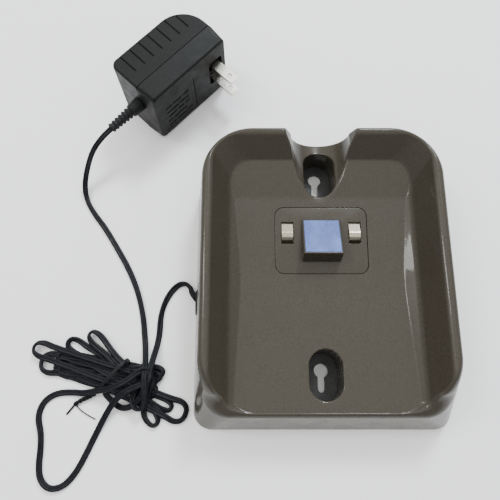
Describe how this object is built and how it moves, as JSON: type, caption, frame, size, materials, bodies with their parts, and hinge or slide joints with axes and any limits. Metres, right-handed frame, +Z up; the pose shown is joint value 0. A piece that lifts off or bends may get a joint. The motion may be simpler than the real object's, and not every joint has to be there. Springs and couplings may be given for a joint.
{
  "type": "charging stand with wall adapter",
  "caption": "Moulded charging cradle with sprung contacts, hook, keyhole wells and back notch, on a thin twin cord to a plug-in wall adapter.",
  "frame": {"origin": "centre of the stand's footprint, on the surface it stands on", "axes": "+Z up out of the tray, +Y to the back wall with the notch, +X to the right"},
  "size_m": [0.2329, 0.2693, 0.046],
  "materials": {
    "shell_gloss": "gloss moulded, dark taupe",
    "cover_black": "fine textured moulding",
    "screw_steel": "zinc plated",
    "feet_rubber": "soft matt",
    "soft_black": "satin soft PVC",
    "cord_black": "satin PVC",
    "pad_blue": "smooth, light blue",
    "carrier_natural": "natural nylon",
    "contact_nickel": "nickel plated spring strip",
    "board_green": "solder mask",
    "board_tan": "paper laminate",
    "resistor_tan": "lacquered",
    "component_black": "moulded epoxy",
    "capacitor_sleeve": "shrink sleeve",
    "terminal_green": "moulded",
    "lead_red": "PVC",
    "lead_black": "PVC",
    "adapter_black": "fine spark texture",
    "blade_brass_nickel": "nickel plated, lightly worn",
    "core_steel": "laminated",
    "winding_tape": "amber tape",
    "winding_copper": "enamelled copper",
    "fuse_metal": "drawn",
    "tie_black": "plastic covered wire"
  },
  "bodies": {
    "stand": {"cradle_shell": "shell_gloss", "base_cover": "cover_black", "cover_screws": "screw_steel", "rubber_feet": "feet_rubber", "cable_grommet": "soft_black", "cord_inside": "cord_black", "cord_clamp": "cover_black", "clamp_screws": "screw_steel", "contact_panel": "shell_gloss", "support_hook": "shell_gloss", "hook_pad": "pad_blue", "hook_screws": "screw_steel", "contact_carrier": "carrier_natural", "circuit_board": "board_green", "board_screws": "screw_steel", "charge_resistors": "resistor_tan", "board_diode": "component_black", "board_capacitor": "capacitor_sleeve", "cord_terminal": "terminal_green", "lead_left": "lead_red", "lead_right": "lead_black", "adapter_front_housing": "adapter_black", "adapter_rear_housing": "adapter_black", "blade_upper": "blade_brass_nickel", "blade_lower": "blade_brass_nickel", "adapter_boot": "soft_black", "transformer_core": "core_steel", "transformer_bobbin": "carrier_natural", "primary_winding": "winding_tape", "secondary_winding": "winding_copper", "thermal_fuse": "fuse_metal", "adapter_board": "board_tan", "rectifier_diodes": "component_black", "smoothing_capacitor": "capacitor_sleeve", "blade_leads": "lead_black", "cord_to_adapter": "cord_black", "cord_to_cradle": "cord_black", "cord_big_loop": "cord_black", "cord_hank": "cord_black", "twist_tie": "tie_black"},
    "left_strip": {"contact_left": "contact_nickel"},
    "right_strip": {"contact_right": "contact_nickel"}
  },
  "joints": [
    {"name": "contact_left_press", "type": "hinge", "parent": "stand", "child": "left_strip", "pos_m": [-0.0189, 0.0157, 0.02187], "axis": [-1, 0, 0], "range_deg": [0, 9], "stiffness_Nm_per_rad": 0.03, "springref_deg": -3.44},
    {"name": "contact_right_press", "type": "hinge", "parent": "stand", "child": "right_strip", "pos_m": [0.0189, 0.0157, 0.02187], "axis": [-1, 0, 0], "range_deg": [0, 9], "stiffness_Nm_per_rad": 0.03, "springref_deg": -3.44}
  ]
}
